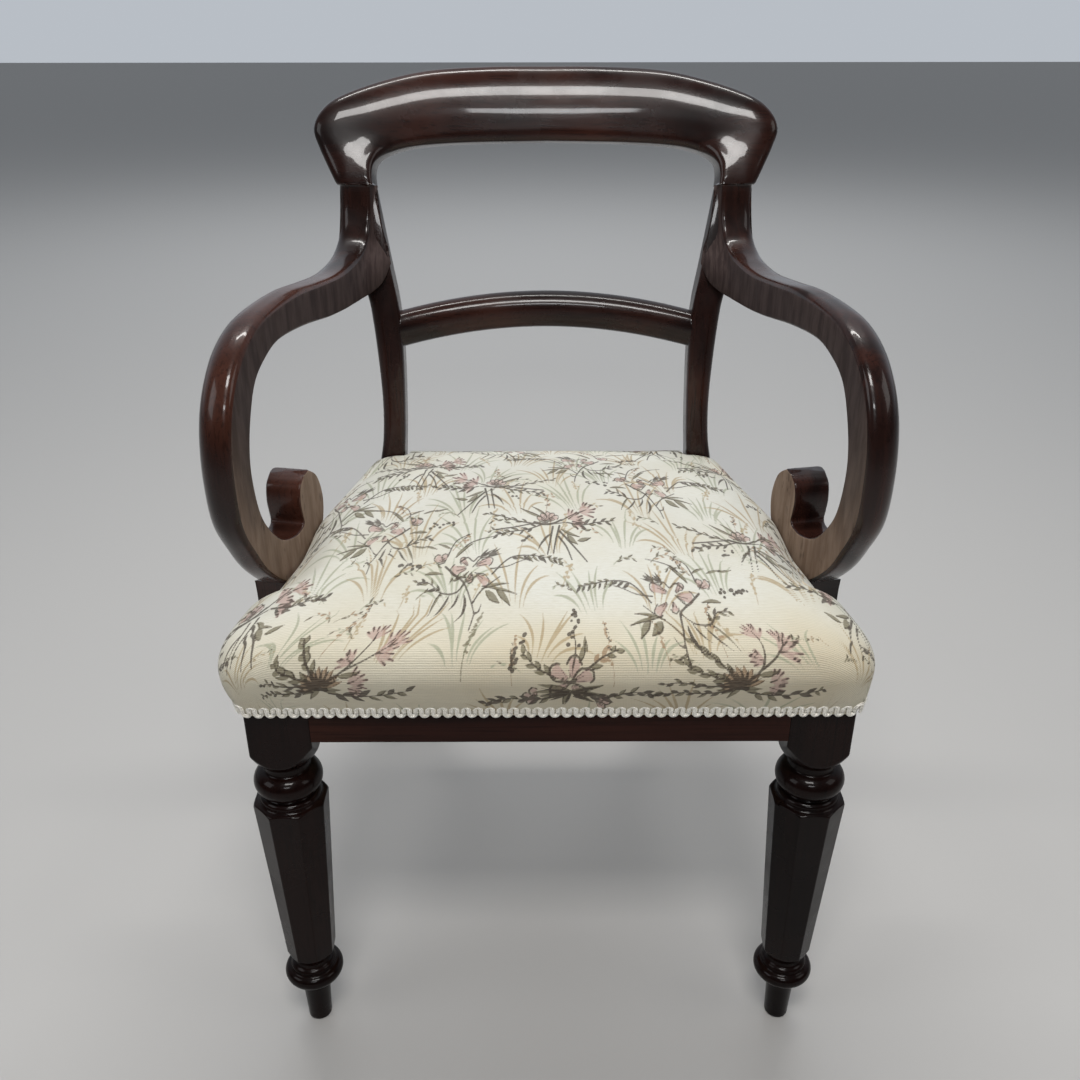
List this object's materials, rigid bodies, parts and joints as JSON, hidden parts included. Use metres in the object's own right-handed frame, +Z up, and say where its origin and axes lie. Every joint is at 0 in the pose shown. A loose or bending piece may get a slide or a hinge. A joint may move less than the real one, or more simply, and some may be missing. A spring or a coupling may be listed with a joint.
{
  "type": "open armchair",
  "caption": "Open armchair with a yoke crest rail, scrolled arms, turned and faceted front legs, raked rear legs and a stuffed tapestry seat edged with braid.",
  "frame": {"origin": "on the floor, under the middle of the chair's bounding box", "axes": "+Z up, -Y is the way the chair faces, +X to the right as seen from the front; left and right in node names are as seen from the front"},
  "size_m": [0.5926, 0.615, 0.8781],
  "materials": {
    "mahogany": "French polished, worn on the arms",
    "rail_mahogany": "polished, redder and plainer",
    "beech": "bare secondary wood",
    "webbing": "woven jute webbing",
    "jute": "plain hessian",
    "linen_scrim": "stitched linen scrim over fibre",
    "wadding": "calico over cotton wadding",
    "tapestry": "ribbed floral tapestry",
    "gimp_braid": "cream scroll gimp",
    "steel": "dull steel"
  },
  "bodies": {
    "root": {"front_leg_left": "mahogany", "front_leg_right": "mahogany", "rear_leg_left": "mahogany", "rear_leg_right": "mahogany", "front_seat_rail": "rail_mahogany", "rear_seat_rail": "beech", "side_seat_rail_left": "rail_mahogany", "side_seat_rail_right": "rail_mahogany", "crest_rail": "mahogany", "mid_rail": "mahogany", "arm_left": "mahogany", "arm_right": "mahogany", "arm_support_left": "mahogany", "arm_support_right": "mahogany", "corner_block_front_left": "beech", "corner_block_front_right": "beech", "corner_block_rear_left": "beech", "corner_block_rear_right": "beech", "corner_block_screws": "steel", "crest_dowels_left": "beech", "crest_dowels_right": "beech", "arm_screw_left": "steel", "arm_screw_right": "steel", "arm_screw_plug_left": "mahogany", "arm_screw_plug_right": "mahogany", "arm_support_screws_left": "steel", "arm_support_screws_right": "steel", "webbing_long_1": "webbing", "webbing_long_2": "webbing", "webbing_long_3": "webbing", "webbing_long_4": "webbing", "webbing_cross_1": "webbing", "webbing_cross_2": "webbing", "webbing_cross_3": "webbing", "webbing_cross_4": "webbing", "webbing_tacks": "steel", "hessian": "jute", "first_stuffing": "linen_scrim", "second_stuffing": "wadding", "edge_wadding_front": "wadding", "edge_wadding_left": "wadding", "edge_wadding_right": "wadding", "edge_wadding_rear": "wadding", "seat_cover": "tapestry", "cover_tacks": "steel", "gimp_front": "gimp_braid", "gimp_side_left": "gimp_braid", "gimp_side_right": "gimp_braid", "gimp_rear": "gimp_braid"}
  },
  "joints": []
}
